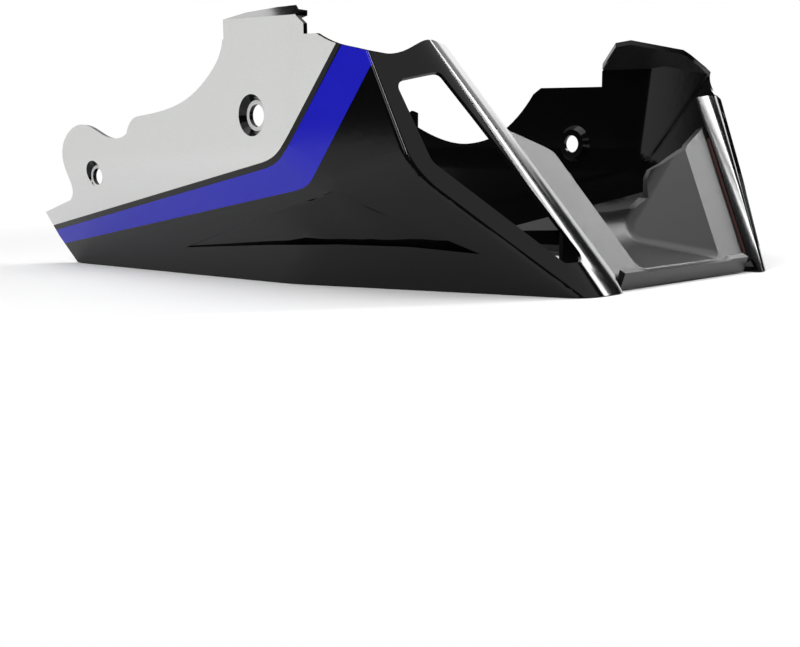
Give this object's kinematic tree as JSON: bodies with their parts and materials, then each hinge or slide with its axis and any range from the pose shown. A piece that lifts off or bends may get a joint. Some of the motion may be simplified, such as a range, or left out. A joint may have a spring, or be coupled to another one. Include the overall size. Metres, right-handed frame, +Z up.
{
  "type": "motorcycle belly pan",
  "caption": "Motorcycle belly pan: two painted side shells with front intake frames, joined by a textured centre panel with a sunk trough, open above for the engine.",
  "frame": {"origin": "on the ground plane, under the middle of the pan's bounding box", "axes": "+Z up, -Y towards the front of the motorcycle, +X towards the rider's left"},
  "size_m": [0.37, 0.481, 0.1731],
  "materials": {
    "right_shell": "painted gloss",
    "left_shell": "painted gloss",
    "centre": "textured satin",
    "tape": "matte"
  },
  "bodies": {
    "root": {"right_side_panel": "right_shell", "left_side_panel": "left_shell", "centre_panel": "centre", "right_bond_strip": "tape", "left_bond_strip": "tape"}
  },
  "joints": []
}
